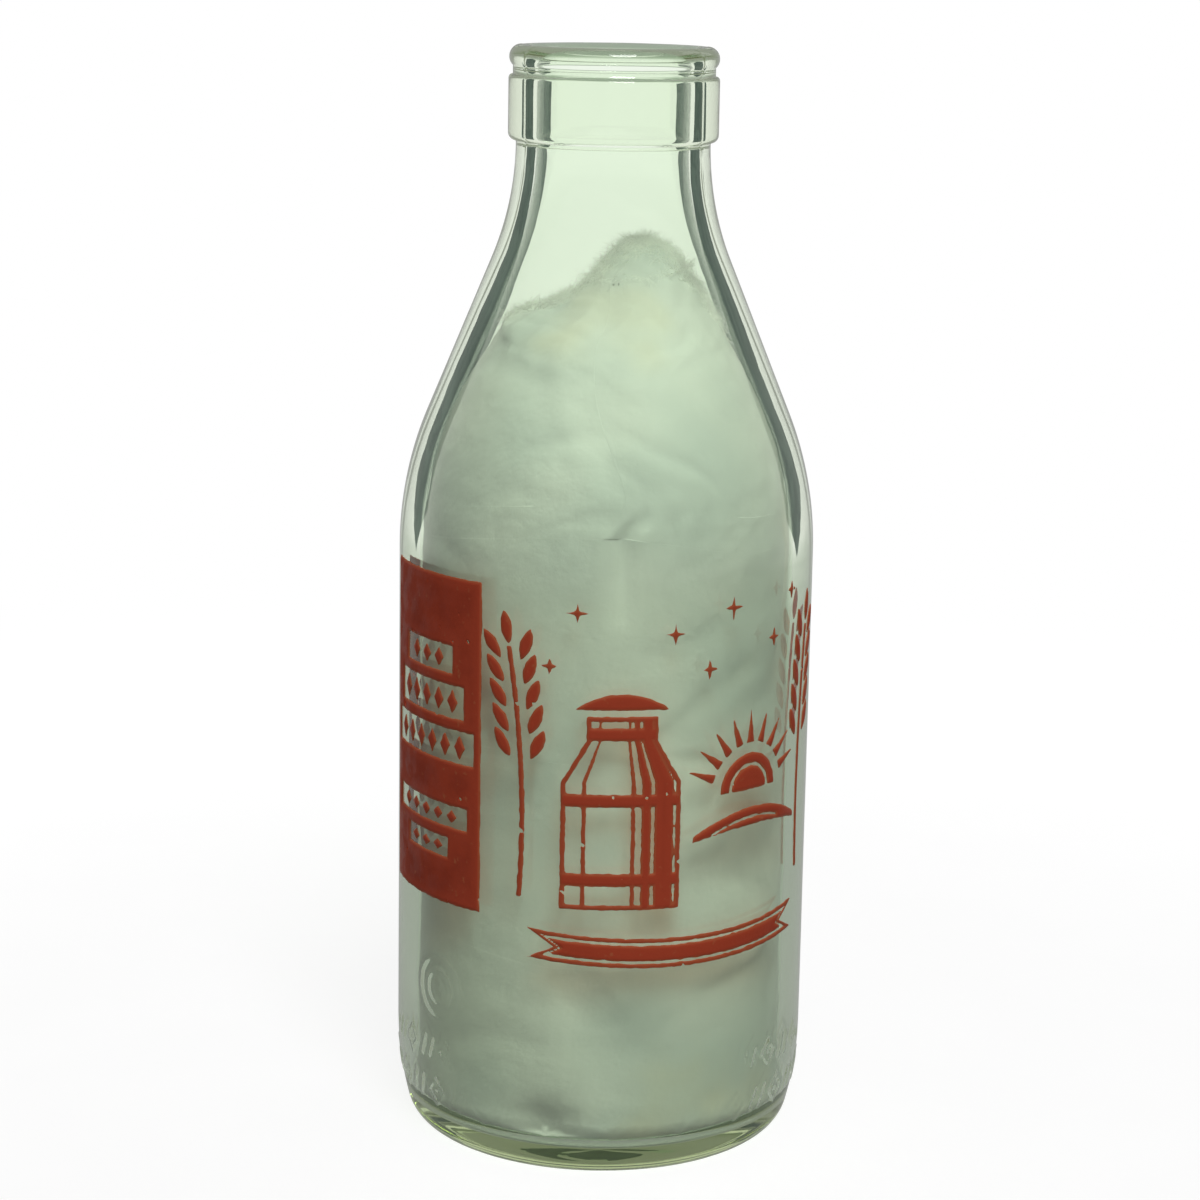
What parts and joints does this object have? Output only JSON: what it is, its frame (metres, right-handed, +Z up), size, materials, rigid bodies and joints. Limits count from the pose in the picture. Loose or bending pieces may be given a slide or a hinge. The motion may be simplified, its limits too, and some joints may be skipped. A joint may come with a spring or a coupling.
{
  "type": "glass milk bottle",
  "caption": "Tall pale green glass milk bottle with a collared mouth, sloping shoulder, brick red fired enamel print and white cotton-wool wadding inside.",
  "frame": {"origin": "middle of the foot, on the surface that the bottle stands on", "axes": "+Z up along the bottle's axis, -Y towards the front of the print, +X to the right of someone facing it"},
  "size_m": [0.079, 0.0793, 0.2083],
  "materials": {
    "pale_green_glass": "clear, moulded",
    "brick_red_enamel": "fired enamel, satin",
    "cotton_wool": "soft loose fibre"
  },
  "bodies": {
    "bottle": {"glass_bottle": "pale_green_glass", "base_wad": "cotton_wool", "lower_wad": "cotton_wool", "middle_wad": "cotton_wool", "left_shoulder_wad": "cotton_wool", "right_shoulder_wad": "cotton_wool", "side_panel_enamel": "brick_red_enamel", "window_lozenge_enamel": "brick_red_enamel", "hill_enamel": "brick_red_enamel", "rising_sun_enamel": "brick_red_enamel", "milk_churn_enamel": "brick_red_enamel", "left_wheat_enamel": "brick_red_enamel", "right_wheat_enamel": "brick_red_enamel", "ribbon_enamel": "brick_red_enamel", "spark_enamel": "brick_red_enamel"},
    "lifting_tuft": {"top_tuft": "cotton_wool"}
  },
  "joints": [
    {"name": "tuft_lift", "type": "slide", "parent": "bottle", "child": "lifting_tuft", "axis": [0, 0, 1], "range_m": [0, 0.07]}
  ]
}
